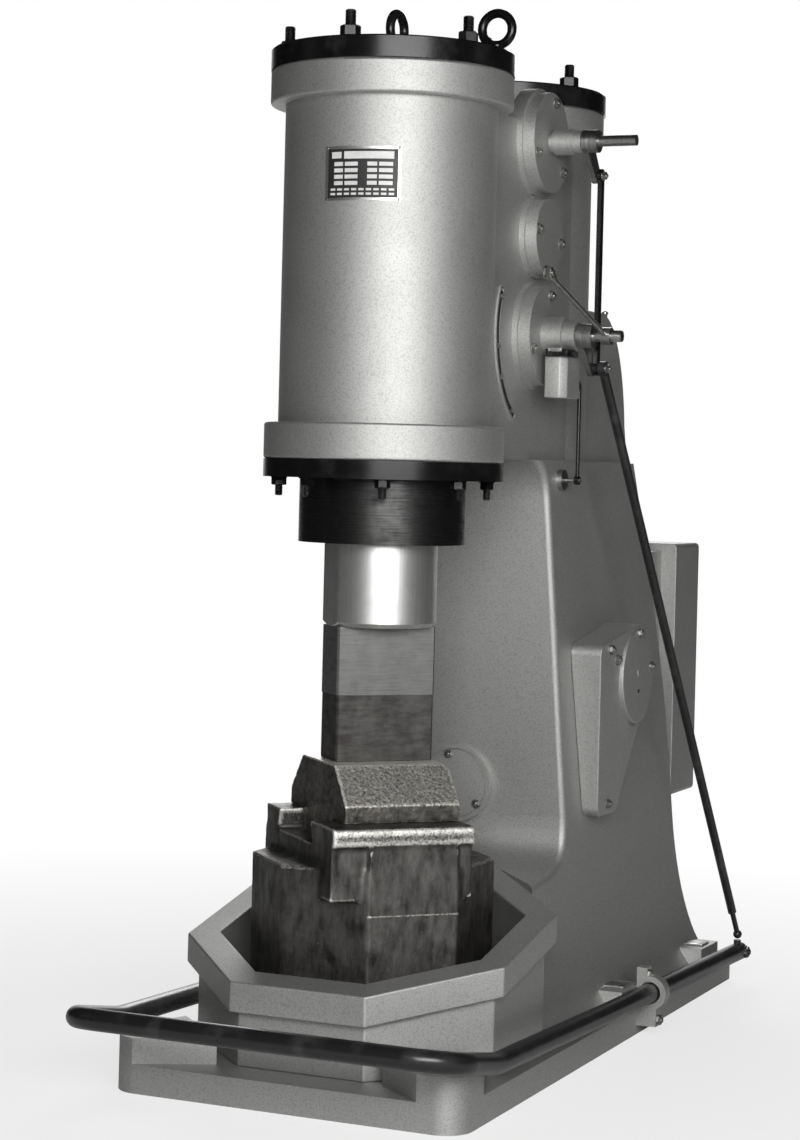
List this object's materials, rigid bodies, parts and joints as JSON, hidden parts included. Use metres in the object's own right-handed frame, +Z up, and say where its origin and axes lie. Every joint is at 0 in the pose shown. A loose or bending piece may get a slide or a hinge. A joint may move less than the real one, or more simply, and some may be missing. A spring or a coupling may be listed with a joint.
{
  "type": "air forging hammer",
  "caption": "Single-frame air forging hammer with an octagonal anvil, turned dies, two upright cylinders, side valve gear and a pipe treadle round the base.",
  "frame": {"origin": "on the floor, on the centre line of the ram", "axes": "+Z up, -Y to the front where the operator stands, +X to the operator's right, the side with the valve gear"},
  "size_m": [0.912, 2.073, 2.256],
  "materials": {
    "hammertone_paint": "silver-grey hammertone paint over cast iron",
    "black_enamel": "gloss black enamel",
    "polished_steel": "ground and polished bar",
    "machined_cast_iron": "turned cast iron",
    "oiled_die_steel": "milled and oiled steel",
    "oily_anvil_iron": "dark oily cast iron with streaks",
    "bare_steel": "turned steel",
    "plate_aluminium": "printed aluminium plate, left bare of words"
  },
  "bodies": {
    "frame": {"anvil": "oily_anvil_iron", "base": "hammertone_paint", "basin": "hammertone_paint", "belt_guard": "hammertone_paint", "column": "hammertone_paint", "compressor_cover": "black_enamel", "cylinder_block": "hammertone_paint", "data_plate": "plate_aluminium", "front_cover": "hammertone_paint", "gear_cover": "hammertone_paint", "gland_ring": "black_enamel", "guide_sleeve": "machined_cast_iron", "lifting_eye_left": "black_enamel", "lifting_eye_right": "black_enamel", "lower_die": "oily_anvil_iron", "lower_valve_flange": "hammertone_paint", "lower_valve_hub": "hammertone_paint", "middle_valve_cover": "hammertone_paint", "oil_pump": "hammertone_paint", "oil_pump_crank": "hammertone_paint", "oil_pump_rod": "black_enamel", "rear_bearing": "hammertone_paint", "treadle_bracket_left": "hammertone_paint", "treadle_bracket_right": "hammertone_paint", "upper_valve_flange": "hammertone_paint", "upper_valve_hub": "hammertone_paint", "working_cylinder_cover": "black_enamel"},
    "ram": {"ram": "polished_steel", "ram_die_holder": "oiled_die_steel", "upper_die": "oiled_die_steel"},
    "treadle": {"treadle": "black_enamel"},
    "treadle_rod": {"treadle_rod": "black_enamel"},
    "lower_valve": {"lower_valve_shaft": "bare_steel", "hand_lever": "bare_steel"},
    "upper_valve": {"upper_valve_shaft": "bare_steel"},
    "link": {"link_bar": "black_enamel"}
  },
  "joints": [
    {"name": "ram_slide", "type": "slide", "parent": "frame", "child": "ram", "axis": [0, 0, 1], "range_m": [0, 0.37]},
    {"name": "treadle_hinge", "type": "hinge", "parent": "frame", "child": "treadle", "pos_m": [0, 0.633, 0.098], "axis": [1, 0, 0], "range_deg": [0, 4], "stiffness_Nm_per_rad": 100, "springref_deg": -148.97},
    {"name": "treadle_rod_hinge", "type": "hinge", "parent": "treadle", "child": "treadle_rod", "pos_m": [0.418, 1.318, 0.123], "axis": [1, 0, 0], "range_deg": [-6, 0.5]},
    {"name": "lower_valve_hinge", "type": "hinge", "parent": "frame", "child": "lower_valve", "pos_m": [0.3, 0.318, 1.572], "axis": [1, 0, 0], "range_deg": [0, 48]},
    {"name": "upper_valve_hinge", "type": "hinge", "parent": "frame", "child": "upper_valve", "pos_m": [0.3, 0.318, 1.996], "axis": [1, 0, 0], "range_deg": [0, 48]},
    {"name": "link_hinge", "type": "hinge", "parent": "lower_valve", "child": "link", "pos_m": [0.336, 0.38, 1.504], "axis": [1, 0, 0], "range_deg": [-48, 0]}
  ],
  "couplings": [
    {"joint": "treadle_rod_hinge", "follows": "treadle_hinge", "ratio": -1.315},
    {"joint": "lower_valve_hinge", "follows": "treadle_hinge", "ratio": 11.9},
    {"joint": "upper_valve_hinge", "follows": "treadle_hinge", "ratio": 11.9},
    {"joint": "link_hinge", "follows": "treadle_hinge", "ratio": -11.9}
  ]
}
